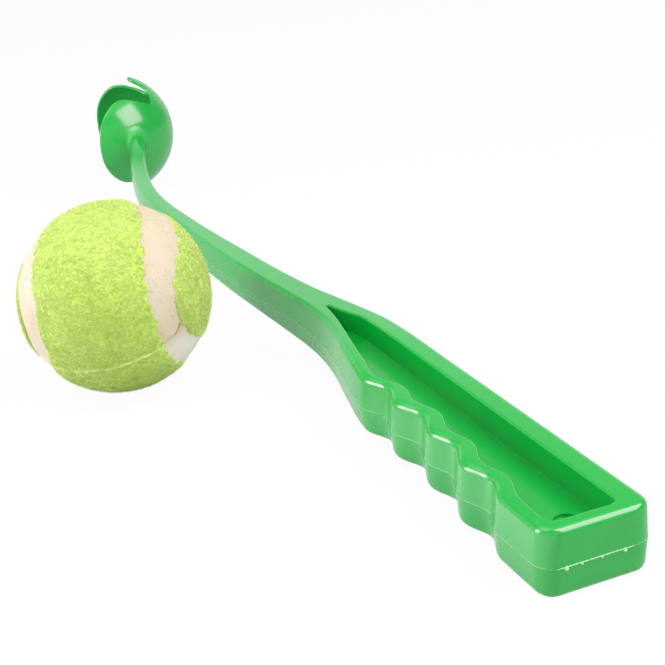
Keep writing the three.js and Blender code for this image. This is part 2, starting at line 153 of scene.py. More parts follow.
# %% A material
class Finish(Graph):
    def __init__(self, name):
        self.material = bpy.data.materials.new(name)
        self.material.use_nodes = True
        super().__init__(self.material.node_tree)
        self.shader = self.tree.nodes["Principled BSDF"]

    def place(self):
        return self.use("ShaderNodeTexCoord", output="Object")

    def attribute(self, name):
        return self.use("ShaderNodeAttribute", {"attribute_name": name}, None, "Fac")

    def noise(self, scale, detail=2.0, roughness=0.5):
        inputs = {"Vector": self.place(), "Scale": scale, "Detail": detail,
                  "Roughness": roughness}
        return self.use("ShaderNodeTexNoise", None, inputs, "Fac")

    def ramp(self, factor, stops):
        return self.use("ShaderNodeValToRGB", {"stops": stops}, {"Fac": factor}, "Color")

    def mix(self, factor, first, second):
        return self.use("ShaderNodeMix", {"data_type": "RGBA"},
                        {0: factor, 6: first, 7: second}, 2)

    def bump(self, height, distance, strength=1.0):
        inputs = {"Height": height, "Distance": distance, "Strength": strength}
        return self.use("ShaderNodeBump", None, inputs, "Normal")

    def set(self, **values):
        for key, value in values.items():
            self.feed(self.shader.inputs[key.replace("_", " ")], value)


def rgba(*colour):
    return (*colour, 1.0)


# %% [markdown]
# ## Green plastic
# Moulded polypropylene is glossy: a low roughness with a faint ripple, a colour that barely
# varies, and a little light scattered under the surface. The flash on the parting line is painted
# pale in places, partly as wear and partly as a painted highlight where the raised bead catches
# light, and the blend at the neck is less polished. Where the gates were cut off the plastic is
# torn and pale, and the inside of the cup is blasted dull.

# %% How the launcher lies
LAUNCHER_TILT = math.radians(2.52995)
LAUNCHER_ORIGIN = np.array([-260.082, -4.851, 8.989])
PARTING = -0.85  # the height of the parting line, from the middle of the thickness

# %% Plastic
FLASH_LINE = (0.06 * MM, 0.16 * MM)  # the pale line ends between these distances
FLASH_FADE = (0.12, 0.19)  # it fades out along the arm, in metres

plastic = Finish("glossy_green_plastic")
drift = plastic.noise(14.0, 3.0)
green = plastic.mix(drift, rgba(0.0015, 0.325, 0.036), rgba(0.004, 0.365, 0.046))
along, height = (plastic.axis(plastic.place(), k) for k in (0, 2))
rise = height * math.cos(LAUNCHER_TILT) - along * math.sin(LAUNCHER_TILT)
level = (LAUNCHER_ORIGIN[2] * math.cos(LAUNCHER_TILT)
         - LAUNCHER_ORIGIN[0] * math.sin(LAUNCHER_TILT) + PARTING) * MM
off_line = plastic.use("ShaderNodeMath", {"operation": "ABSOLUTE"}, {0: rise - level})
flash = (1.0 - plastic.step(off_line, *FLASH_LINE)) * (1.0 - plastic.step(along, *FLASH_FADE))
# the pale colour on the flash is partly wear and partly a painted highlight on the raised bead
wear_and_glint = flash * plastic.step(plastic.noise(230.0), 0.3, 0.55)
sheen = plastic.noise(55.0, 3.0, 0.6)
plastic.set(Base_Color=plastic.mix(wear_and_glint * 0.55, green, rgba(0.30, 0.62, 0.30)),
            Roughness=0.15 + sheen * 0.08 + wear_and_glint * 0.2 + plastic.attribute("blend") * 0.4,
            Normal=plastic.bump(plastic.noise(420.0), 0.005 * MM, 0.3),
            IOR=1.55, Specular_IOR_Level=0.7, Subsurface_Weight=0.08,
            Subsurface_Scale=0.003, Subsurface_Radius=(0.3, 1.0, 0.4))

# %% Torn plastic where the gates were cut off
cut_gate = Finish("cut_gate_plastic")
torn = cut_gate.noise(2500.0, 3.0, 0.6)
cut_gate.set(Base_Color=cut_gate.mix(torn, rgba(0.22, 0.58, 0.24), rgba(0.50, 0.80, 0.50)),
             Roughness=0.5 + torn * 0.2, Normal=cut_gate.bump(torn, 0.06 * MM, 0.6), IOR=1.49)

# %% Blasted plastic inside the cup
cup_inside = Finish("cup_inside_plastic")
blast = cup_inside.noise(900.0)
dull_green = cup_inside.mix(cup_inside.noise(14.0, 3.0), rgba(0.0012, 0.285, 0.031),
                            rgba(0.003, 0.315, 0.038))
cup_inside.set(Base_Color=dull_green, Roughness=0.42 + blast * 0.1,
               Normal=cup_inside.bump(blast, 0.01 * MM, 0.4), IOR=1.49, Specular_IOR_Level=0.3)

# %% [markdown]
# ## The plan of the moulding
# The launcher lies on its side, the way it comes out of the mould. Seen from above it has a
# finger side and a back, and both follow smooth curves. A short table holds the curves as
# shares of the length and the handle width, and a spline runs through its rows.

# %% Sizes of the launcher, in millimetres
REACH = 488.6  # from the end face to the middle of the cup
HANDLE_WIDTH, HALF_THICKNESS = 31.4, 9.1
END_CORNER, EDGE_FILLET, DRAFT = 5.0, 2.1, 0.5
FINGER_START, FINGER_PITCH, FINGER_COUNT, FINGER_DEPTH = 19.7, 20.15, 4, 3.0
INSIDE_SHIFT, INSIDE_DEPTH = 2.7, 2.3  # the same wave inside the pocket
HALF_WEB, END_WALL, POCKET_CORNER = 2.0, 4.5, 2.0
FLOOR_FILLET, POCKET_EDGE, POCKET_DRAFT = 0.12, 0.7, 0.35
CUP_RADIUS, CUP_WALL, CUP_SIDE, CUP_TURN = 32.4, 1.9, 1.092 * HANDLE_WIDTH, math.radians(13)
FLARE = 4.6  # how far the arm widens where it meets the cup
QUARTER = math.pi / 2

# share of the length, finger side and back as shares of the width, share of the thickness
PLAN = np.array([
    [0, 0.013, 1, 1], [0.0403, 0.013, 1, 1], [0.0816, 0.038, 1, 1], [0.123, 0.089, 1, 1],
    [0.1641, 0.096, 1, 1], [0.2055, 0.081, 1, 1], [0.2507, 0.215, 1, 1],
    [0.2814, 0.319, 0.985, 0.967], [0.31, 0.379, 0.918, 0.932], [0.3387, 0.388, 0.834, 0.891],
    [0.3715, 0.356, 0.742, 0.846], [0.4206, 0.299, 0.656, 0.793], [0.482, 0.242, 0.58, 0.744],
    [0.5536, 0.217, 0.5, 0.689], [0.6416, 0.204, 0.449, 0.623], [0.6846, 0.227, 0.468, 0.601],
    [0.7255, 0.293, 0.541, 0.585], [0.7624, 0.395, 0.65, 0.573], [0.8156, 0.586, 0.837, 0.563],
    [0.8709, 0.825, 1.07, 0.551], [0.9261, 1.086, 1.331, 0.541], [0.9629, 1.262, 1.506, 0.541]])
# share of the length, finger side and back of the pocket
POCKET = np.array([
    [0.0113, 0.148, 0.753], [0.0386, 0.173, 0.753], [0.08, 0.222, 0.753],
    [0.1213, 0.272, 0.753], [0.1625, 0.282, 0.753], [0.2038, 0.225, 0.753],
    [0.2266, 0.289, 0.753], [0.2511, 0.363, 0.753], [0.2736, 0.438, 0.753],
    [0.2941, 0.506, 0.737], [0.3125, 0.553, 0.649], [0.3263, 0.579, 0.6]])
# half the cup's rim on a ball of radius 1: how far to one side, how far out
RIM = np.array([
    [0, -0.336], [0.07, -0.35], [0.12, -0.395], [0.142, -0.463], [0.163, -0.545],
    [0.225, -0.633], [0.335, -0.685], [0.46, -0.678], [0.555, -0.605], [0.603, -0.505],
    [0.636, -0.395], [0.668, -0.245], [0.722, -0.07], [0.815, 0.08], [0.89, 0.19],
    [0.945, 0.255], [0.99, 0.278], [1.08, 0.282]])
LOWER_SLOT_SHARE = 0.35  # the slots below are less deep


def flow(rows, column, at):
    """A smooth value between the rows of a table."""
    x, y = rows[:, 0], rows[:, column]
    at = min(max(at, x[0]), x[-1])
    i = min(int(np.searchsorted(x, at, "right")) - 1, len(x) - 2)
    slope = [(y[min(k + 1, len(x) - 1)] - y[max(k - 1, 0)])
             / (x[min(k + 1, len(x) - 1)] - x[max(k - 1, 0)]) for k in (i, i + 1)]
    span = x[i + 1] - x[i]
    s = (at - x[i]) / span
    rise = s * s * (3 - 2 * s)
    bend = s * (1 - s) * (1 - s) * slope[0] - s * s * (1 - s) * slope[1]
    return y[i] * (1 - rise) + y[i + 1] * rise + bend * span


def finger_wave(along, start, depth):
    turns = (along - start) / FINGER_PITCH
    inside = 0 < turns < FINGER_COUNT
    return depth * 0.5 * (1 - math.cos(2 * math.pi * turns)) if inside else 0.0


def corner_inset(radius, from_end):
    left = max(0.0, radius - from_end)
    return radius - math.sqrt(max(0.0, radius * radius - left * left))


# %% [markdown]
# ## Cross-sections
# Every station along the launcher gets a closed ring of points with the same count, so the
# rings join into one clean skin. Half a ring runs from the parting line on the finger side,
# up over the edge, down into the pocket and out again to the back. The parting line carries
# the fine flash that the two halves of the mould leave.

# %% How deep the pocket is
POCKET_END = POCKET[-1, 0] * REACH
PLAIN_FROM = POCKET_END + 3  # from here on the arm has a plain upper face
FLASH = 0.06


def smooth(s):
    s = min(max(s, 0.0), 1.0)
    return s * s * (3 - 2 * s)


def pocket_depth(along, full):
    """How deep the pocket is here: it drops at the end wall and rises again at its point."""
    run = min(along - END_WALL, POCKET_END - along)
    if run <= -POCKET_EDGE:
        return 0.0
    if run <= 0:
        return POCKET_EDGE - math.sqrt(max(0.0, POCKET_EDGE ** 2 - (run + POCKET_EDGE) ** 2))
    left = max(0.0, FLOOR_FILLET - run)
    return full - FLOOR_FILLET + math.sqrt(FLOOR_FILLET ** 2 - left ** 2)


# %% One side of a section
def flank(half, draft, wide, tall):
    """From the flash on the parting line up a drafted side and over its rounded edge."""
    points = [(-FLASH, 0.0), (-FLASH * 0.8, 0.08), (0.0, 0.2)]
    points += [(draft * s, (half - tall) * s) for s in (0.06, 0.3, 0.65, 0.97)]
    points += [(draft + wide * (1 - math.cos(a)), half - tall * (1 - math.sin(a)))
               for a in np.linspace(0, QUARTER, 9)]
    return points


# %% The pocket's wall and the upper face
def pocket_wall(half, depth, wide):
    """From the pocket's rounded edge down its drafted wall and round into its floor."""
    lip = min(POCKET_EDGE, depth / 2)
    fillet = min(FLOOR_FILLET, wide * 0.25, depth / 2)
    tilt = min(POCKET_DRAFT, wide * 0.1) * (depth / (half - HALF_WEB))
    wall = [(-POCKET_EDGE - 0.05, half)]
    wall += [(-POCKET_EDGE + POCKET_EDGE * math.sin(a), half - lip * (1 - math.cos(a)))
             for a in np.linspace(0, QUARTER, 6)]
    wall.append((tilt / 2, half - (lip + depth - fillet) / 2))
    wall += [(tilt + fillet * (1 - math.cos(a)), half - depth + fillet * (1 - math.sin(a)))
             for a in np.linspace(0, QUARTER, 7)]
    return wall


def upper_face(along, half, start, stop):
    """Down into the pocket and out again, or straight across where there is none."""
    share = min(max(along, END_WALL), POCKET_END) / REACH
    inset = corner_inset(POCKET_CORNER, max(0.0, along - END_WALL))
    low = flow(POCKET, 1, share) * HANDLE_WIDTH + inset
    low += finger_wave(along, FINGER_START - INSIDE_SHIFT, INSIDE_DEPTH)
    high = max(flow(POCKET, 2, share) * HANDLE_WIDTH - inset, low + POCKET_EDGE)
    middle = (low + high) / 2
    depth = pocket_depth(along, half - HALF_WEB)
    wall = pocket_wall(half, depth, high - low)
    count = len(wall)
    if along > PLAIN_FROM:
        reach = (stop - start) * 0.4
        near = [(start + reach * (k + 1) / count, half) for k in range(count)]
        far = [(stop - reach * (k + 1) / count, half) for k in range(count)]
        middle = (start + stop) / 2
    elif depth == 0:
        spread = [(k + 1) / (count + 2) for k in range(count)]
        near = [(start + (middle - start) * s, half) for s in spread]
        far = [(stop + (middle - stop) * s, half) for s in spread]
    else:
        near = [(min(low + out, middle), h) for out, h in wall]
        far = [(max(high - out, middle), h) for out, h in wall]
    return near + [(middle, near[-1][1])] + far[::-1]


# %% One half of a ring
MELT_START, MELT_RUN = 40, 34  # the edges start to soften this far before the cup
BACK_WIDER, BACK_TALLER, RIDGE_SHIFT = 4.6, 3.6, 1.9
FINGER_LEAN, BACK_LEAN = 0.75, -0.1  # how the flare leans on each side


def arm_end():
    """Where the skin of the flared arm meets the ball of the cup."""
    finger, back = (flow(PLAN, k, 1) * HANDLE_WIDTH for k in (1, 2))
    offset = math.hypot((finger + back) / 2 - CUP_SIDE, PLAN[-1, 3] * HALF_THICKNESS + FLARE)
    return REACH - math.sqrt(CUP_RADIUS ** 2 - offset ** 2)


ARM_END = arm_end()


def half_ring(along):
    share = along / REACH
    inset = corner_inset(END_CORNER, along)
    thick = flow(PLAN, 3, share)
    finger = flow(PLAN, 1, share) * HANDLE_WIDTH + inset
    finger += finger_wave(along, FINGER_START, FINGER_DEPTH)
    back = flow(PLAN, 2, share) * HANDLE_WIDTH - inset
    plain = thick * HALF_THICKNESS
    run = min(max(0.0, along - (ARM_END - FLARE)), FLARE)
    half = plain - corner_inset(EDGE_FILLET, along) + (FLARE - math.sqrt(FLARE ** 2 - run ** 2))
    fillet = min(EDGE_FILLET * thick, half * 0.9)
    melt = smooth((along - (ARM_END - MELT_START)) / MELT_RUN)
    soft = fillet * (1 + 0.5 * melt)
    finger_side = flank(half, DRAFT * thick, soft, soft)
    back_side = flank(half, DRAFT * thick, fillet + BACK_WIDER * melt, fillet + BACK_TALLER * melt)
    ridge = (finger + back) / 2 + FLARE / 4 - RIDGE_SHIFT * melt
    on_finger = [(min(finger + d + FINGER_LEAN * max(0, h - plain), ridge), h)
                 for d, h in finger_side]
    on_back = [(max(back - d + BACK_LEAN * max(0, h - plain), ridge + 0.3), h)
               for d, h in back_side]
    across = upper_face(along, half, on_finger[-1][0], on_back[-1][0])
    return on_finger + across + on_back[::-1]


def ring(along):
    """A whole ring. The mould parts below the middle, so the points near there move down."""
    upper = half_ring(along)
    lower = [(s, -h) for s, h in upper[::-1][1:-1]]
    points = np.array([(along, -s, h) for s, h in upper + lower])
    thick = max(h for _, h in upper)
    reach = np.clip(1 - np.abs(points[:, 2]) / (thick * 0.7), 0, 1)
    points[:, 2] += PARTING * flow(PLAN, 3, along / REACH) * reach
    return points


# %% [markdown]
# ## Stations
# Stations crowd together where the shape turns quickly, at the rounded end, at the pocket's end
# wall, over the finger bumps and where the arm flares into the cup, and thin out on the arm.

# %% Where the rings stand
WAVE_STEPS = 24  # rings over one finger bump
CLOSEST = 0.015  # rings nearer than this are dropped


def stations():
    places = [END_CORNER * (1 - math.cos(a)) for a in np.linspace(0, QUARTER, 13)]
    edge = [-POCKET_EDGE * math.cos(a) for a in np.linspace(0, QUARTER, 6)]
    edge += [0.02] + [FLOOR_FILLET * (1 - math.cos(a)) for a in np.linspace(0.2, QUARTER, 7)]
    edge += [POCKET_CORNER * s for s in (0.85, 1.0)]
    places += [END_WALL + e for e in edge] + [POCKET_END - e for e in edge]
    grip_end = FINGER_START + FINGER_PITCH * FINGER_COUNT
    for start, end, count in ((8, FINGER_START, 6),
                              (FINGER_START, grip_end, WAVE_STEPS * FINGER_COUNT + 1),
                              (grip_end, POCKET_END - 1, 40),
                              (POCKET_END + 1.2, ARM_END - FLARE, 110)):
        places += list(np.linspace(start, end, count))
    places += [ARM_END - FLARE + FLARE * math.sin(a) for a in np.linspace(0, QUARTER, 11)]
    places = np.unique(np.round(places, 4))
    return places[np.concatenate([[True], np.diff(places) > CLOSEST])]


def skin(rings):
    """Vertices and quads over a row of rings."""
    count = len(rings[0])
    faces = []
    for i in range(len(rings) - 1):
        for j in range(count):
            k = (j + 1) % count
            faces.append((i * count + j, i * count + k, (i + 1) * count + k, (i + 1) * count + j))
    return np.concatenate(rings), faces


# %% Skin of the arm and handle
END_CAP = (0.02, 0.5, 0.9)  # shrunk copies of the first ring close the end face
ARM_TIP = (1.0, 0.8, 0.55, 0.3, 0.02)  # and those of the last ring lie inside the cup's wall


def arm_mesh():
    rings = [ring(a) for a in stations()]
    first, last = rings[0], rings[-1]
    cap = [first.mean(0) + (first - first.mean(0)) * s for s in END_CAP]
    for ring_points in cap:
        ring_points[:, 0] = 0.0
    hub = last.mean(0)
    tips = [hub + (last - hub) * s for s in ARM_TIP]
    for tip in tips:
        reach = (CUP_RADIUS - 0.5 * CUP_WALL) ** 2 - (tip[:, 1] + CUP_SIDE) ** 2 - tip[:, 2] ** 2
        tip[:, 0] = REACH - np.sqrt(reach)
    return skin(cap + rings + tips)


# %% Helpers for meshes
def new_mesh(name, vertices, faces):
    mesh = bpy.data.meshes.new(name)
    mesh.from_pydata([tuple(v) for v in vertices], [], faces)
    return mesh


def close_up(mesh, distance, fill=False):
    """Merge doubles, fill the open ends if asked, and turn every face outwards."""
    work = bmesh.new()
    work.from_mesh(mesh)
    bmesh.ops.remove_doubles(work, verts=work.verts, dist=distance)
    if fill:
        bmesh.ops.holes_fill(work, edges=[e for e in work.edges if e.is_boundary], sides=0)
    bmesh.ops.recalc_face_normals(work, faces=work.faces)
    work.to_mesh(mesh)
    work.free()


def mesh_from(name, vertices, faces):
    mesh = new_mesh(name, vertices, faces)
    close_up(mesh, 0.002, fill=True)
    return mesh


def object_from(mesh):
    made = bpy.data.objects.new(mesh.name, mesh)
    bpy.context.scene.collection.objects.link(made)
    return made


arm = object_from(mesh_from("launcher_body", *arm_mesh()))
print("arm and handle", len(arm.data.polygons), "faces")

# %% [markdown]
# ## The spring cup
# The cup is part of a ball-shaped shell. Its rim dips into a slot on both sides of a narrow
# tongue, above and below, which leaves two petals that spring apart as the ball snaps in.
# Rings run from the pole at the back out to the rim, roll over it, and return inside.

# %% The rim, as a closed line on a unit ball
RIM_POINTS = 360
RIM_ROUND = 0.85  # radius of the rolled rim
CUP_RINGS = 26


def half_rim(slot_share):
    tip = RIM[0, 1]
    out = np.where(RIM[:, 1] < tip, tip + (RIM[:, 1] - tip) * slot_share, RIM[:, 1])
    right = np.column_stack([RIM[:, 0], out])
    knots = np.concatenate([right[1:][::-1] * [-1, 1], right])
    points = []
    for i in range(1, len(knots) - 2):
        p0, p1, p2, p3 = knots[i - 1:i + 3]
        for t in np.linspace(0, 1, 24, endpoint=False):
            points.append(0.5 * (2 * p1 + (p2 - p0) * t + (2 * p0 - 5 * p1 + 4 * p2 - p3) * t * t
                                 + (3 * p1 - p0 - 3 * p2 + p3) * t ** 3))
    points = np.array([p for p in points if p @ p < 0.9999])
    return np.column_stack([points, np.sqrt(1 - (points ** 2).sum(1))])


def rim_line(count):
    line = np.concatenate([half_rim(1.0), half_rim(LOWER_SLOT_SHARE)[::-1] * [1, 1, -1]])
    steps = np.linalg.norm(np.roll(line, -1, 0) - line, axis=1)
    along = np.concatenate([[0], np.cumsum(steps)])
    at = np.linspace(0, along[-1], count, endpoint=False)
    line = np.concatenate([line, line[:1]])
    out = np.column_stack([np.interp(at, along, line[:, k]) for k in range(3)])
    return out / np.linalg.norm(out, axis=1)[:, None]


def slerp(a, b, s):
    angle = np.arccos(np.clip((a * b).sum(1), -1, 1))[:, None]
    return (a * np.sin(angle * (1 - s)) + b * np.sin(angle * s)) / np.sin(angle)


# %% The cup
def cup_mesh():
    rim = rim_line(RIM_POINTS)
    ahead = np.roll(rim, -1, 0) - np.roll(rim, 1, 0)
    inward = np.cross(rim, ahead)
    inward /= np.linalg.norm(inward, axis=1)[:, None]
    pole = np.tile([0.0, -1.0, 0.0], (len(rim), 1))
    if (inward * pole).sum() < 0:
        inward = -inward

    def at(run, drop):
        angle = run / CUP_RADIUS
        return (rim * math.cos(angle) + inward * math.sin(angle)) * (CUP_RADIUS - drop)

    hem = at(RIM_ROUND, 0) / CUP_RADIUS
    fan = [slerp(pole, hem, s) for s in np.linspace(0.004, 1, CUP_RINGS)[:-1]]
    rings = [f * CUP_RADIUS for f in fan]
    turn = np.linspace(0, QUARTER, 6)
    for a in turn:
        rings.append(at(RIM_ROUND * (1 - math.sin(a)), RIM_ROUND * (1 - math.cos(a))))
    for a in turn[::-1]:
        rings.append(at(RIM_ROUND * (1 - math.sin(a)), CUP_WALL - RIM_ROUND * (1 - math.cos(a))))
    rings += [f * (CUP_RADIUS - CUP_WALL) for f in fan[::-1]]
    vertices, faces = skin(rings)
    c, s = math.cos(-CUP_TURN), math.sin(-CUP_TURN)
    x, y = vertices[:, 0].copy(), vertices[:, 1].copy()
    vertices[:, 0] = x * c - y * s + REACH
    vertices[:, 1] = x * s + y * c - CUP_SIDE
    return vertices, faces


cup = object_from(mesh_from("cup", *cup_mesh()))
print("cup", len(cup.data.polygons), "faces")

# %% [markdown]
# ## Joining the moulding
# The cup, the arm and the little gate marks on the end face are one piece of plastic, so they
# are joined with a boolean, and the hanging hole is cut with a turned pin that has a step, so
# that the hole has a wider mouth in both faces of the web.

# %% Hanging hole and gate marks
HOLE_RADIUS, HOLE_ALONG = 2.2, 13.8
MOUTH_RADIUS, MOUTH_DEPTH = 3.3, 1.4
# share of the width, radius and height of each gate mark
GATES = [(0.205, 0.6, 0.75), (0.71, 0.55, 0.7), (0.34, 0.34, 0.4), (0.515, 0.34, 0.4)]
SCRAP = (0.13, 0.8)  # the strip of ragged flash runs between these shares of the width
SCRAP_STEPS, SCRAP_SIDES = 150, 10


def revolve(name, profile, centre, axis, count=40):
    rings = []
    for radius, height in profile:
        turn = np.linspace(0, 2 * math.pi, count, endpoint=False)
        flat = np.column_stack([radius * np.cos(turn), radius * np.sin(turn),
                                np.full(count, height)])
        rings.append(flat if axis == "z" else flat[:, [2, 0, 1]])
    vertices, faces = skin(rings)
    return object_from(mesh_from(name, vertices + np.array(centre), faces))


lip = [(MOUTH_RADIUS + 0.25, HALF_WEB + 1), (MOUTH_RADIUS + 0.25, HALF_WEB),
       (MOUTH_RADIUS + 0.07, HALF_WEB - 0.08), (MOUTH_RADIUS, HALF_WEB - 0.3),
       (MOUTH_RADIUS - 0.05, HALF_WEB - MOUTH_DEPTH), (HOLE_RADIUS, HALF_WEB - MOUTH_DEPTH)]
pin = revolve("pin", lip + [(r, -h) for r, h in lip[::-1]],
              (HOLE_ALONG, -HANDLE_WIDTH / 2, 0), "z")

pips = []
for i, (share, radius, height) in enumerate(GATES):
    dome = [(radius * math.cos(a), -height * math.sin(a)) for a in np.linspace(0, 1.5, 7)]
    place = (0, -HANDLE_WIDTH * share, PARTING - 0.35)
    pips.append(revolve(f"pip_{i}", [(radius, 0.8)] + dome, place, "x", 18))


def scrap():
    """The ragged flash left on the end face between the gates."""
    rings = []
    start, end = SCRAP
    for s in np.linspace(start, end, SCRAP_STEPS):
        ragged = (0.5 + noise.noise(Vector((s * 60, 2, 0)))
                  + 0.5 * noise.noise(Vector((s * 190, 5, 0))))
        size = 0.11 + (0.16 * max(0.0, ragged) * smooth((s - start) / 0.08)
                       * smooth((end - s) / 0.08))
        turn = np.linspace(0, 2 * math.pi, SCRAP_SIDES, endpoint=False)
        rings.append(np.column_stack([-size * np.cos(turn),
                                      np.full(SCRAP_SIDES, -HANDLE_WIDTH * s),
                                      PARTING - 0.05 + size * 0.8 * np.sin(turn)]))
    ends = [r.mean(0) + (r - r.mean(0)) * 0.01 for r in (rings[0], rings[-1])]
    return object_from(mesh_from("scrap", *skin([ends[0]] + rings + [ends[1]])))


pips.append(scrap())

# %% Joining
def combine(target, other, operation):
    change = target.modifiers.new("join", "BOOLEAN")
    change.operation = operation
    change.solver = "EXACT"
    change.material_mode = "INDEX"
    change.object = other
    evaluated = target.evaluated_get(bpy.context.evaluated_depsgraph_get())
    mesh = bpy.data.meshes.new_from_object(evaluated)
    target.modifiers.clear()
    old = target.data
    target.data = mesh
    bpy.data.meshes.remove(old)
    bpy.data.objects.remove(other)


def open_edges(mesh):
    work = bmesh.new()
    work.from_mesh(mesh)
    count = sum(1 for e in work.edges if not e.is_manifold)
    volume = work.calc_volume(signed=True)
    work.free()
    return count, round(volume, 1)


print("before joining", open_edges(arm.data), open_edges(cup.data))
# two slots of the same plastic tell the faces of the arm and of the cup apart
for made, index in ((arm, 0), (cup, 1)):
    for _ in range(2):
        made.data.materials.append(plastic.material)
    made.data.polygons.foreach_set("material_index", [index] * len(made.data.polygons))
combine(arm, cup, "UNION")
combine(arm, pin, "DIFFERENCE")
for pip in pips:
    combine(arm, pip, "UNION")
print("one moulding", len(arm.data.polygons), "faces, open edges and volume", open_edges(arm.data))

# %% [markdown]
# ## Melting the neck into the cup
# The arm doesn't meet the cup at a sharp corner: the mould has a soft blend there. The corner
# line is where faces of both shapes meet. The mesh round it is made finer and then relaxed,
# fully on the line and less and less away from it. How strongly is kept as an attribute, which
# the plastic reads, because a blend like this is polished less.

# %% Soft blend at the neck
BLEND_REACH, BLEND_ROUNDS, BLEND_PULL = 5.0, 120, 0.6
FINE_EDGE = 1.0
OUTSIDE = CUP_RADIUS - 0.6  # farther from the middle of the cup than this is its outside
BATCH = 4000


def melt_neck(mesh):
    work = bmesh.new()
    work.from_mesh(mesh)
    centre = Vector((REACH, -CUP_SIDE, 0))
    line = np.array([v.co for v in work.verts
                     if len({f.material_index for f in v.link_faces}) > 1
                     and (v.co - centre).length > OUTSIDE])

    def near_line(place):
        return np.linalg.norm(line - np.array(place), axis=1).min() < BLEND_REACH

    for _ in range(2):
        coarse = []
        for e in work.edges:
            middle = (e.verts[0].co + e.verts[1].co) / 2
            if ((middle - centre).length > OUTSIDE and e.calc_length() > FINE_EDGE
                    and near_line(middle)):
                coarse.append(e)
        bmesh.ops.subdivide_edges(work, edges=coarse, cuts=1)
        around = [f for f in work.faces if len(f.verts) > 4 or
                  ((f.calc_center_median() - centre).length > CUP_RADIUS - 0.9
                   and near_line(f.calc_center_median()))]
        cut = bmesh.ops.triangulate(work, faces=around)
        bmesh.ops.beautify_fill(work, faces=cut["faces"], edges=cut["edges"], method="ANGLE")
    blend = work.verts.layers.float.new("blend")
    work.verts.ensure_lookup_table()
    places = np.array([v.co for v in work.verts])
    near = np.concatenate([
        np.linalg.norm(places[start:start + BATCH, None] - line[None], axis=2).min(1)
        for start in range(0, len(places), BATCH)])
    outside = np.linalg.norm(places - np.array(centre), axis=1) > OUTSIDE
    weight = np.clip(1 - near / BLEND_REACH, 0, 1)
    weight = weight * weight * (3 - 2 * weight) * outside
    chosen = np.nonzero(weight > 0)[0]
    links = [[e.other_vert(work.verts[i]).index for e in work.verts[i].link_edges]
             for i in chosen]
    most = max(len(k) for k in links)
    table = np.array([k + [0] * (most - len(k)) for k in links])
    real = np.array([[1.0] * len(k) + [0.0] * (most - len(k)) for k in links])[:, :, None]
    for _ in range(BLEND_ROUNDS):
        means = (places[table] * real).sum(1) / real.sum(1)
        places[chosen] += (means - places[chosen]) * (BLEND_PULL * weight[chosen])[:, None]
    for i in chosen:
        work.verts[i].co = places[i]
        work.verts[i][blend] = weight[i]
    work.to_mesh(mesh)
    work.free()
    return len(line), len(chosen)


print("corner points and points relaxed", melt_neck(arm.data), open_edges(arm.data))

# %% [markdown]
# ## Setting the launcher down
# It rests on the end of its handle and on its cup, so it tilts a little. The tilt and place are
# written into the mesh, and the object itself stays at the origin.

# %% Place, shade and finish the launcher
SHARP = math.radians(65)
GATE_CLEAR = 0.03 * MM  # faces farther out than this from the end face are torn plastic


def set_down(made):
    turn = Matrix.Rotation(-LAUNCHER_TILT, 4, "Y")
    move = Matrix.Translation(Vector(LAUNCHER_ORIGIN))
    made.data.transform(Matrix.Scale(MM, 4) @ move @ turn)


set_down(arm)
arm.data.name = arm.name = "launcher_body"
arm.data.materials.clear()
for finish in (plastic, cut_gate, cup_inside):
    arm.data.materials.append(finish.material)
end_plane = Vector(LAUNCHER_ORIGIN) * MM
outward = Vector((-math.cos(LAUNCHER_TILT), 0, -math.sin(LAUNCHER_TILT)))
cup_centre = (Vector(LAUNCHER_ORIGIN) + Matrix.Rotation(-LAUNCHER_TILT, 3, "Y")
              @ Vector((REACH, -CUP_SIDE, 0))) * MM
inner = (CUP_RADIUS - CUP_WALL + 0.1) * MM
for face in arm.data.polygons:
    torn_off = (face.center - end_plane).dot(outward) > GATE_CLEAR
    within = (face.center - cup_centre).length < inner
    face.material_index = 1 if torn_off else 2 if within else 0
arm.data.shade_smooth()
arm.data.set_sharp_from_angle(angle=SHARP)
weigh = arm.modifiers.new("weighted_normals", "WEIGHTED_NORMAL")
weigh.keep_sharp = True
weigh.weight = 60
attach(arm, "launcher")
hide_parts("launcher_moulding")
print("launcher box", [round(v / MM, 1) for v in arm.dimensions])

# %% [markdown]
# ## The ball's seam
# The covering of the ball is two waisted felt panels, and the line between them runs up and
# down round the ball. Everything on the ball is measured from that line: a turn along it and a
# distance to one side.

# %% Where things are on the ball
BALL_RADIUS = 32.0
WAVE = 0.146  # how strongly the seam swings up and down
low, high = zip(*[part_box(n) for n in ("ball_core_half_a", "ball_core_half_b")])
BALL_CENTRE = (np.min(low, 0) + np.max(high, 0)) / 2 / MM
turns = [Matrix.Rotation(math.radians(a), 3, x) for a, x in ((70.5, "X"), (61.1, "Y"), (54.4, "Z"))]
BALL_TURN = np.array(Matrix.Rotation(-LAUNCHER_TILT, 3, "Y") @ turns[0] @ turns[1] @ turns[2])
print("ball centre", BALL_CENTRE.round(2))


def unit(v):
    return v / np.linalg.norm(v, axis=-1, keepdims=True)


def seam_point(t):
    """The direction of the seam after a turn t, on a ball of radius 1."""
    wide = 1 - WAVE
    tall = 2 * math.sqrt(wide * WAVE)
    return unit(np.stack([wide * np.cos(t) + WAVE * np.cos(3 * t),
                          wide * np.sin(t) - WAVE * np.sin(3 * t), tall * np.sin(2 * t)], -1))


def beside_seam(t, distance):
    """Directions at a distance to one side of the seam, in millimetres along the ball."""
    here = seam_point(t)
    ahead = unit(seam_point(t + 0.001) - seam_point(t - 0.001))
    angle = (np.asarray(distance) / BALL_RADIUS)[..., None]
    return here * np.cos(angle) + np.cross(here, ahead) * np.sin(angle)


def on_ball(directions, radius):
    return (directions * np.asarray(radius)[..., None]) @ BALL_TURN.T + BALL_CENTRE


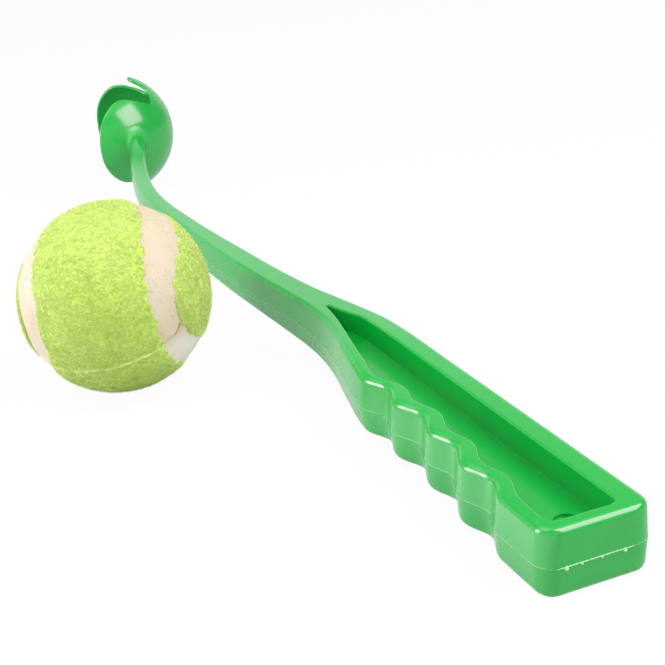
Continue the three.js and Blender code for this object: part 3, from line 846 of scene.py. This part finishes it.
def distance_to(points, line):
    """Shortest distance on the ball from each direction to a drawn line, in millimetres."""
    best = np.full(len(points), 99.0)
    for a, b in zip(line[:-1], line[1:]):
        for s in np.linspace(0, 1, 12):
            there = unit(np.array(a) * (1 - s) + np.array(b) * s)
            best = np.minimum(best, np.linalg.norm(points - there, axis=1) * BALL_RADIUS)
    return best


def bell(distance, width):
    return np.exp(-(distance / width) ** 2)


def lumps(directions, *waves):
    """A soft unevenness: each wave has a scale and a height."""
    return np.array([sum(noise.noise(Vector(d * scale)) * size for scale, size in waves)
                     for d in directions])


def mark(mesh, name, values):
    """Store a number on every point, for a material or a node tree to read."""
    layer = mesh.attributes.new(name, "FLOAT", "POINT")
    layer.data.foreach_set("value", values.astype(np.float32))


# %% [markdown]
# ## Ragged felt edges
# The felt is cut by hand tools, so its edge wanders and frays along the seam. A slow wander is
# given at a few turns, and a small saw-like noise is added to it.

# %% Edge of each panel
# degrees along the seam, and the distance of the felt's edge from it
WANDER = {
    1: [(60, 5.2), (89, 5.7), (97, 5.8), (110, 5.0), (120, 4.3), (130, 4.9), (143, 4.5),
        (158, 4.8), (250, 5.4), (300, 6.6), (345, 6.8), (359, 6.0)],
    -1: [(60, 6.0), (88, 6.8), (103, 6.6), (114, 5.5), (120, 5.3), (127, 4.5), (133, 3.9),
         (143, 4.1), (155, 5.2), (200, 5.0), (302, 3.9), (314, 4.3), (325, 5.0), (335, 6.0),
         (354, 6.8)]}
FRAY = [(1.5, 13, 5), (1.3, 31, 9), (0.8, 70, 3)]  # height, scale and offset of each noise
FRAY_LIMIT = 0.85


def edge_of(side, t):
    degrees, offset = zip(*WANDER[side])
    slow = np.interp(np.degrees(t) % 360, degrees, offset, period=360)
    fray = [sum(size * noise.noise(Vector((math.cos(a) * scale, math.sin(a) * scale, shift * side)))
                for size, scale, shift in FRAY) for a in t]
    return slow + 0.2 + np.clip(fray, -FRAY_LIMIT, FRAY_LIMIT)


# %% [markdown]
# ## Felt
# The backing of the felt is a closed shell a couple of millimetres thick with a soft uneven top.
# A pressed fold shows as a thin raised line near the bottom, with a painted highlight along it.
# The nap is added in a later step, and grows from a bed, a copy of the top with the number of
# fibres it keeps at each point.

# %% Felt panels
FOLD = [(0.215, -0.641, -0.737), (0.125, -0.549, -0.826), (-0.053, -0.377, -0.925),
        (-0.18, -0.24, -0.954), (-0.265, -0.157, -0.951), (-0.341, -0.063, -0.938),
        (-0.415, 0.028, -0.91), (-0.528, 0.151, -0.836), (-0.59, 0.238, -0.772)]
LONG, ACROSS = 420, 60
NAP_TOP = 0.32  # the nap stands this high over the backing
FELT_THICKNESS = 2.2
SAME_POINT = 0.002 * MM


def felt_grid(side):
    left_turn = 0.75 * math.pi - math.pi * np.linspace(0, 1, LONG + 1)
    right_turn = 1.5 * math.pi - left_turn
    flanks = []
    for t in (left_turn, right_turn):
        flanks.append(beside_seam(t, edge_of(side, t if side > 0 else -t)))
    left, right = flanks
    angle = np.arccos(np.clip((left * right).sum(1), -1, 1))[:, None]
    angle = np.maximum(angle, 1e-5)
    rows = [(left * np.sin(angle * (1 - s)) + right * np.sin(angle * s)) / np.sin(angle)
            for s in np.linspace(0, 1, ACROSS + 1)]
    grid = unit(np.stack(rows, 1))
    return grid if side > 0 else grid * [1, -1, -1]


def felt_panel(name, side):
    flat = felt_grid(side).reshape(-1, 3)
    fold = distance_to(flat, FOLD)
    height = (BALL_RADIUS - NAP_TOP + lumps(flat, (26, 0.10), (70, 0.06))
              + 0.55 * bell(fold, 0.32))
    rim = np.minimum(np.arange(ACROSS + 1), np.arange(ACROSS, -1, -1))
    soft = np.interp(rim, [0, 1, 2], [0.35, 0.1, 0.0])
    outer = on_ball(flat, height - np.tile(soft, LONG + 1)) * MM
    inner = on_ball(flat, np.full(len(flat), BALL_RADIUS - FELT_THICKNESS)) * MM
    row, total = ACROSS + 1, len(flat)
    faces, top_faces = [], []
    for i in range(LONG):
        for j in range(ACROSS):
            a = i * row + j
            top_faces.append((a, a + row, a + row + 1, a + 1))
            faces.append((total + a, total + a + 1, total + a + row + 1, total + a + row))
        for a, b in ((i * row, (i + 1) * row), ((i + 1) * row - 1, (i + 2) * row - 1)):
            faces.append((a, b, total + b, total + a))
    mesh = new_mesh(name, np.concatenate([outer, inner]), top_faces + faces)
    mark(mesh, "fold", np.tile(bell(fold, 0.35), 2))
    close_up(mesh, SAME_POINT)
    mesh.shade_smooth()
    mesh.set_sharp_from_angle(angle=math.radians(60))
    bed = new_mesh(name + "_bed", outer, top_faces)
    edge = np.tile(np.interp(rim, [0, 1, 2], [0.45, 0.8, 1.0]), LONG + 1)
    mark(bed, "keep", edge * (1 - 0.9 * bell(fold, 0.5)))
    return object_from(mesh), object_from(bed)


panels = {"a": felt_panel("felt_panel_a", 1), "b": felt_panel("felt_panel_b", -1)}
print("felt", {k: len(v[0].data.polygons) for k, v in panels.items()}, "faces")

# %% [markdown]
# ## Felt finishes
# Felt is a mat of fibres in many shades, so the backing is dark and uneven and each fibre of
# the nap carries its own shade in an attribute that the material reads.

# %% Backing and nap
backing = Finish("felt_backing")
grain = backing.noise(1500.0, 3.0, 0.7)
deep = backing.mix(backing.step(grain, 0.3, 0.7), rgba(0.44, 0.66, 0.06), rgba(0.64, 0.82, 0.16))
# a painted highlight along the raised fold line
fold_highlighted = backing.mix(backing.attribute("fold"), deep, rgba(0.80, 0.92, 0.34))
backing.set(Base_Color=fold_highlighted, Roughness=0.93, Normal=backing.bump(grain, 0.2 * MM, 0.8),
            Sheen_Weight=0.25, Sheen_Roughness=0.6)

nap = Finish("felt_nap")
patch = nap.noise(55.0, 3.0, 0.55)
colour = nap.ramp(nap.attribute("shade") * 0.75 + patch * 0.45 - 0.1,
                  [(0.0, (0.42, 0.64, 0.05)), (0.4, (0.64, 0.82, 0.14)),
                   (0.7, (0.78, 0.91, 0.27)), (1.0, (0.93, 0.97, 0.50))])
nap.set(Base_Color=colour, Roughness=0.85, Sheen_Weight=0.3, Sheen_Roughness=0.5)

# %% [markdown]
# ## The nap as thousands of fibres
# What repeats by rule belongs in Geometry Nodes: points are scattered over the felt, a short
# bent fibre stands on each, laid nearly flat and turned at random, and a random shade is stored
# on it. The seed is fixed, so every run gives the same ball.

# %% Geometry Nodes tree
BOW = 0.9  # how far a fibre bends to one side, as a share of its length
LAID = (1.3, 1.6)  # from upright, in radians, so nearly flat
FIBRE_SIDES, FIBRE_RINGS = 3, 3


def nap_tree():
    tree = bpy.data.node_groups.new("felt_nap", "GeometryNodeTree")
    sockets = [("Felt", "NodeSocketGeometry", None), ("Fibres per m2", "NodeSocketFloat", 1e6),
               ("Length", "NodeSocketFloat", 0.002), ("Width", "NodeSocketFloat", 0.0001),
               ("Seed", "NodeSocketInt", 1), ("Material", "NodeSocketMaterial", None)]
    for name, kind, value in sockets:
        made = tree.interface.new_socket(name, in_out="INPUT", socket_type=kind)
        if value is not None:
            made.default_value = value
    tree.interface.new_socket("Fibres", in_out="OUTPUT", socket_type="NodeSocketGeometry")
    graph = Graph(tree)
    start = tree.nodes.new("NodeGroupInput")
    felt, density, length, width, seed, material = (
        Value(graph, start.outputs[name]) for name, _, _ in sockets)

    def chance(low, high, draw):
        return graph.use("FunctionNodeRandomValue", {"data_type": "FLOAT"},
                         {2: low, 3: high, "Seed": seed + float(draw)}, 1)

    def about(axis, angle):
        return graph.use("FunctionNodeAxisAngleToRotation", None, {"Axis": axis, "Angle": angle})

    def then(first, second):
        return graph.use("FunctionNodeRotateRotation", {"rotation_space": "LOCAL"},
                         {0: first, 1: second})

    keep = graph.use("GeometryNodeInputNamedAttribute", {"data_type": "FLOAT"}, {"Name": "keep"},
                     "Attribute")
    points = graph.use("GeometryNodeDistributePointsOnFaces", None,
                       {"Mesh": felt, "Density": keep * density, "Seed": seed}, "Points")
    straight = graph.use("GeometryNodeMeshCylinder", {"fill_type": "NGON"},
                         {"Vertices": FIBRE_SIDES, "Side Segments": FIBRE_RINGS - 1,
                          "Radius": width * 0.5, "Depth": length}, "Mesh")
    share = graph.axis(graph.use("GeometryNodeInputPosition"), 2) / length
    bow = graph.use("ShaderNodeCombineXYZ", None, {"X": share * share * (length * BOW)})
    bent = graph.use("GeometryNodeSetPosition", None, {"Geometry": straight, "Offset": bow})

    turned = then(points.sibling("Rotation"), about((0, 0, 1), chance(0.0, 6.283, 11)))
    laid = then(turned, about((1, 0, 0), chance(*LAID, 12)))
    rolled = then(laid, about((0, 0, 1), chance(0.0, 6.283, 13)))
    size = graph.use("ShaderNodeCombineXYZ", None,
                     {"X": chance(0.8, 1.25, 14), "Y": chance(0.8, 1.25, 15),
                      "Z": chance(0.55, 1.3, 16)})
    standing = graph.use("GeometryNodeInstanceOnPoints", None,
                         {"Points": points, "Instance": bent, "Rotation": rolled, "Scale": size})
    tinted = graph.use("GeometryNodeStoreNamedAttribute",
                       {"data_type": "FLOAT", "domain": "INSTANCE"},
                       {"Geometry": standing, "Name": "shade", "Value": chance(0.0, 1.0, 17)})
    real = graph.use("GeometryNodeRealizeInstances", None, {"Geometry": tinted})
    named = graph.use("GeometryNodeSetMaterial", None, {"Geometry": real, "Material": material})
    graph.feed(tree.nodes.new("NodeGroupOutput").inputs[0], named)
    return tree


NAP = nap_tree()
INPUTS = {s.name: s.identifier for s in NAP.interface.items_tree if s.in_out == "INPUT"}


def grow(bed, name, seed, density, length, width):
    modifier = bed.modifiers.new("nap", "NODES")
    modifier.node_group = NAP
    values = {"Fibres per m2": density, "Length": length, "Width": width, "Seed": seed,
              "Material": nap.material}
    for key, value in values.items():
        modifier[INPUTS[key]] = value
    evaluated = bed.evaluated_get(bpy.context.evaluated_depsgraph_get())
    mesh = bpy.data.meshes.new_from_object(evaluated)
    bed.modifiers.remove(modifier)
    mesh.name = name
    mesh.shade_smooth()
    return object_from(mesh)


# %% [markdown]
# ## A map for the fibres
# Thousands of loose fibres make a poor unwrapped map, so each fibre gets a tiny spot of one
# drawn as the ball's side laid out flat round the middle of its panel.

# %% Nap pieces
FIBRE_POINTS = FIBRE_SIDES * FIBRE_RINGS
FIBRES = 2.6e6  # per square metre, for each of three layers
FIBRE_LENGTH, FIBRE_WIDTH = 2.0 * MM, 0.1 * MM
THIRD_TURN = 2.0944
SPOT_RINGS = (0.0008, 0.0014, 0.002)  # on the map, one small ring for each ring of the fibre


def spot_map(made):
    mesh = made.data
    co = np.empty(len(mesh.vertices) * 3)
    mesh.vertices.foreach_get("co", co)
    co = (co.reshape(-1, 3) / MM - BALL_CENTRE) @ BALL_TURN
    roots = unit(co.reshape(-1, FIBRE_POINTS, 3).mean(1))
    axis = unit(roots.mean(0))
    aside = unit(np.cross(axis, [0.3, 0.5, 0.81]))
    other = np.cross(axis, aside)
    far = np.arccos(np.clip(roots @ axis, -1, 1)) / math.pi
    turn = np.arctan2(roots @ other, roots @ aside)
    spot = 0.5 + 0.48 * far[:, None] * np.stack([np.cos(turn), np.sin(turn)], 1)
    ring_turn = np.tile(np.arange(FIBRE_SIDES) * THIRD_TURN, FIBRE_RINGS)
    ring_far = np.repeat(SPOT_RINGS, FIBRE_SIDES)
    step = np.stack([np.cos(ring_turn) * ring_far, np.sin(ring_turn) * ring_far], 1)
    uv = (spot[:, None, :] + step[None]).reshape(-1, 2)
    layer = mesh.uv_layers.get("OFBake") or mesh.uv_layers.new(name="OFBake")
    corner = np.empty(len(mesh.loops), np.int32)
    mesh.loops.foreach_get("vertex_index", corner)
    layer.data.foreach_set("uv", uv[corner].astype(np.float32).ravel())


for key, first_seed in (("a", 10), ("b", 40)):
    panel, bed = panels[key]
    panel.data.materials.append(backing.material)
    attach(panel, "ball")
    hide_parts(f"ball_felt_panel_{key}")
    for part in (1, 2, 3):
        fur = grow(bed, f"felt_nap_{key}_{part}", first_seed + part, FIBRES, FIBRE_LENGTH,
                   FIBRE_WIDTH)
        spot_map(fur)
        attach(fur, "ball")
        print(fur.name, len(fur.data.vertices) // FIBRE_POINTS, "fibres")
    bpy.data.objects.remove(bed)

# %% [markdown]
# ## The cement seam
# The seam is a smooth cream band, a little lower than the felt. It runs on under the felt edge.
# It is stained, finely pitted, split in one place beside the join of the band, and more soiled
# on one side of that join. On the side that faces the left window it is painted a little
# lighter, as painted light.

# %% Seam band
CRACK = [(-0.629, 0.474, -0.616), (-0.642, 0.44, -0.628), (-0.645, 0.406, -0.647),
         (-0.645, 0.368, -0.67)]
LAP = [(-0.645, 0.368, -0.67), (-0.615, 0.333, -0.714), (-0.588, 0.285, -0.757)]
BAND_HALF = 8.2
BAND_TOP = BALL_RADIUS - 0.5
BAND_STEPS, BAND_WIDE = 720, 37
SOILED_SIDE = unit(np.cross(LAP[0], LAP[-1]))
SOILED_SIDE = SOILED_SIDE * np.sign(SOILED_SIDE @ np.array((-0.5, 0.75, -0.45)))
# the side of the ball that faces the left window, where the band is painted a little lighter
WINDOW_LIT_SIDE = BALL_TURN.T @ np.array((0.405, 0.914, 0.0))


def seam_band():
    t = np.linspace(0, 2 * math.pi, BAND_STEPS, endpoint=False)
    rows = [beside_seam(t, np.full(BAND_STEPS, d))
            for d in np.linspace(-BAND_HALF, BAND_HALF, BAND_WIDE)]
    grid = np.stack(rows, 1).reshape(-1, 3)
    crack = distance_to(grid, CRACK)
    lap = distance_to(grid, LAP)
    radius = (BAND_TOP + lumps(grid, (9, 0.12), (40, 0.04))
              - 0.6 * bell(crack, 0.26) - 0.2 * bell(lap, 0.22))
    radius += 0.15 * bell(crack - 0.7, 0.35)
    top = on_ball(grid, radius).reshape(BAND_STEPS, BAND_WIDE, 3)
    bottom = on_ball(grid, np.full(len(grid), BALL_RADIUS - FELT_THICKNESS))
    loop = np.concatenate([top, bottom.reshape(BAND_STEPS, BAND_WIDE, 3)[:, ::-1]], 1)
    vertices, faces = skin(list(loop) + [loop[0]])
    mesh = new_mesh("seam_band", vertices * MM, faces)
    before = np.clip(np.exp(-np.maximum(0, grid @ SOILED_SIDE * -9)), 0, 1)
    # painted light: less soiling on the side that faces the left window
    window_lit = np.clip((grid @ WINDOW_LIT_SIDE - 0.4) / 0.3, 0, 1)
    # the marks are on the top half of each ring, and the first ring comes again at the end
    for name, values in (("crack", bell(crack, 0.22)), ("lap", bell(lap, 0.25)),
                         ("soil", before * (1 - 0.2 * window_lit))):
        whole = np.zeros((BAND_STEPS + 1, 2 * BAND_WIDE))
        whole[:-1, :BAND_WIDE] = values.reshape(BAND_STEPS, BAND_WIDE)
        whole[-1] = whole[0]
        mark(mesh, name, whole.ravel())
    close_up(mesh, SAME_POINT)
    mesh.shade_smooth()
    mesh.set_sharp_from_angle(angle=math.radians(50))
    return object_from(mesh)


# %% Cement
cement = Finish("cream_cement")
stain = cement.step(cement.noise(38.0, 3.0, 0.6), 0.35, 0.7)
soil = cement.attribute("soil")
cream = cement.mix(stain, rgba(0.60, 0.52, 0.39), rgba(0.54, 0.44, 0.28))
clean = cement.mix(stain, rgba(0.78, 0.73, 0.66), rgba(0.72, 0.67, 0.60))
ground = cement.mix(soil, clean, cream)
specks = (cement.step(cement.noise(1300.0, 1.0), 0.62, 0.70)
          * cement.step(cement.noise(110.0), 0.42, 0.62))
dotted = cement.mix(specks * (0.25 + soil * 0.5), ground, rgba(0.40, 0.25, 0.10))
joined = cement.mix(cement.attribute("lap") * 0.7, dotted, rgba(0.45, 0.33, 0.20))
broken = cement.mix(cement.attribute("crack"), joined, rgba(0.20, 0.10, 0.03))
pits = cement.bump(cement.noise(900.0, 3.0, 0.6), 0.06 * MM, 0.5)
cement.set(Base_Color=broken, Roughness=0.66 + stain * 0.15, Normal=pits)

band = seam_band()
band.data.materials.append(cement.material)
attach(band, "ball")
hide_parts("ball_seam")
print("seam band", len(band.data.polygons), "faces")

# %% [markdown]
# ## The rubber core
# The two halves of the core are hidden inside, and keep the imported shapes. Black rubber still
# gets its bloom, so that a cut-away view shows a real material.

# %% Core finish
rubber = Finish("black_core_rubber")
bloom = rubber.noise(70.0, 4.0, 0.6)
rubber.set(Base_Color=rubber.mix(bloom, rgba(0.018, 0.018, 0.018), rgba(0.05, 0.05, 0.048)),
           Roughness=0.6 + bloom * 0.2, Normal=rubber.bump(rubber.noise(900.0), 0.05 * MM, 0.5))
for name in ("ball_core_half_a", "ball_core_half_b"):
    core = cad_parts[name]
    core.data.materials.clear()
    core.data.materials.append(rubber.material)

# %% [markdown]
# ## Floor and light
# The object lies on a white sheet in a white room. The floor shows almost pure white to the
# camera and keeps a faint shadow. To glossy rays the floor glows as a painted reflection: brighter
# on one side and darker past the end of the handle.

# %% Floor
FLOOR_HALF, FLOOR_DROP = 6.0, 0.0001  # in metres


def staged_white():
    sheet = Finish("white_floor")
    sheet.tree.nodes.remove(sheet.shader)
    paper = sheet.use("ShaderNodeBsdfDiffuse", None, {"Color": rgba(0.68, 0.68, 0.68)})
    seen = sheet.use("ShaderNodeLightPath", None, None, "Is Camera Ray")
    mirrored = seen.sibling("Is Glossy Ray")
    along, left = (sheet.axis(sheet.place(), k) for k in (0, 1))
    # painted reflection: the floor's glow in the gloss is brighter beside the launcher and darker
    # past the handle's end
    painted_bright_side = sheet.step(left, -0.012, 0.02) * (1.0 - sheet.step(along, -0.165, -0.12))
    painted_dark_past_handle = 1.0 - sheet.step(along, -0.37, -0.32)
    strength = 1.0 + mirrored * (painted_bright_side - painted_dark_past_handle * 0.55 - 0.15)
    glow = sheet.use("ShaderNodeEmission", None, {"Strength": strength})
    white = sheet.use("ShaderNodeMixShader", None,
                      {0: (seen + mirrored) * 0.95, 1: paper, 2: glow})
    sheet.feed(sheet.tree.nodes["Material Output"].inputs[0], white)
    return sheet.material


corners = [(x * FLOOR_HALF, y * FLOOR_HALF, 0) for x, y in ((-1, -1), (1, -1), (1, 1), (-1, 1))]
floor = object_from(new_mesh("floor", corners, [(0, 1, 2, 3)]))
floor.location.z = -FLOOR_DROP
floor.data.materials.append(staged_white())

# %% [markdown]
# ## The room
# The plain light of the room comes from all sides. What the glossy plastic mirrors is another
# thing: bright near the horizon, where the walls are lit, darker higher up, and dark to one side.

# %% Light of the room
PLAIN_LIGHT = 0.56
SEEN_WHITE = 1.25  # the node's own colour is a grey of 0.8, so this shows as white
world = bpy.data.worlds.new("white_room")
world.use_nodes = True
bpy.context.scene.world = world
room = Graph(world.node_tree)
looking = room.use("ShaderNodeTexCoord")
up = room.axis(looking, 2)
aside = room.use("ShaderNodeVectorMath", {"operation": "DOT_PRODUCT"},
                 {0: looking, 1: (-0.26, -0.97, 0)}, 1)
walls = room.step(up, 0.34, 0.56, 1.2, 0.45)
ceiling = room.step(up, 0.64, 0.80, 0.0, 0.6)
reflected = (walls + ceiling) * room.step(aside, 0.5, 0.9, 1.0, 0.4)
plain, mirror, seen = (room.use("ShaderNodeBackground", None, {"Strength": strength})
                       for strength in (PLAIN_LIGHT, reflected, SEEN_WHITE))
ray = room.use("ShaderNodeLightPath", None, None, "Is Camera Ray")
glossy = room.use("ShaderNodeMixShader", None,
                  {0: ray.sibling("Is Glossy Ray"), 1: plain, 2: mirror})
whole = room.use("ShaderNodeMixShader", None, {0: ray, 1: glossy, 2: seen})
room.feed(world.node_tree.nodes["World Output"].inputs[0], whole)

# %% [markdown]
# ## Soft lights
# One big soft light stands up to the right behind the camera: it draws the square glint on the
# cup and the bright line along the edges. A window stands to the left and a light hangs above.
# Each is a pair of lamps: one lights the object, and the other is seen only in the gloss, in a
# tint that keeps the glints on the green plastic nearly white.

# %% Softboxes
CUP_CENTRE = Vector((228.04, -39.14, 30.56)) * MM
GRIP_CENTRE = Vector((-200.0, -12.0, 18.0)) * MM
GLINT_TINT = (1.0, 0.55, 0.9)
IMAGE_STEP = 0.02  # the image stands this much nearer than its light


def softbox(name, direction, target, distance, wide, tall, radiance, reflected, roll=0.0):
    """A soft light facing its target: how bright it lights, and how bright its mirror image is."""
    for part, level in (("light", radiance), ("image", reflected)):
        data = bpy.data.lights.new(name, "AREA")
        data.shape = "RECTANGLE"
        data.size, data.size_y = wide, tall
        data.energy = level * math.pi * wide * tall
        data.color = GLINT_TINT if part == "image" else (1, 1, 1)
        made = bpy.data.objects.new(f"{name}_{part}", data)
        made.visible_diffuse = part == "light"
        made.visible_glossy = part == "image"
        made.location = target + direction * (distance - IMAGE_STEP * (part == "image"))
        made.rotation_euler = (direction.to_track_quat("Z", "Y").to_matrix()
                               @ Matrix.Rotation(roll, 3, "Z")).to_euler()
        bpy.context.scene.collection.objects.link(made)


# direction, target, distance, width, height, light, mirror image and roll
softbox("key", Vector((-0.690, -0.381, 0.615)).normalized(), CUP_CENTRE, 1.3, 0.88, 0.82,
        5.4, 6.6, math.radians(8))
softbox("left_window", Vector((0.338, 0.928, 0.156)).normalized(), GRIP_CENTRE, 0.9, 0.34, 0.72,
        7.5, 9.5)
softbox("overhead", Vector((0.05, 0.45, 0.9)).normalized(), GRIP_CENTRE, 1.1, 0.8, 0.8, 3.9, 1.8)
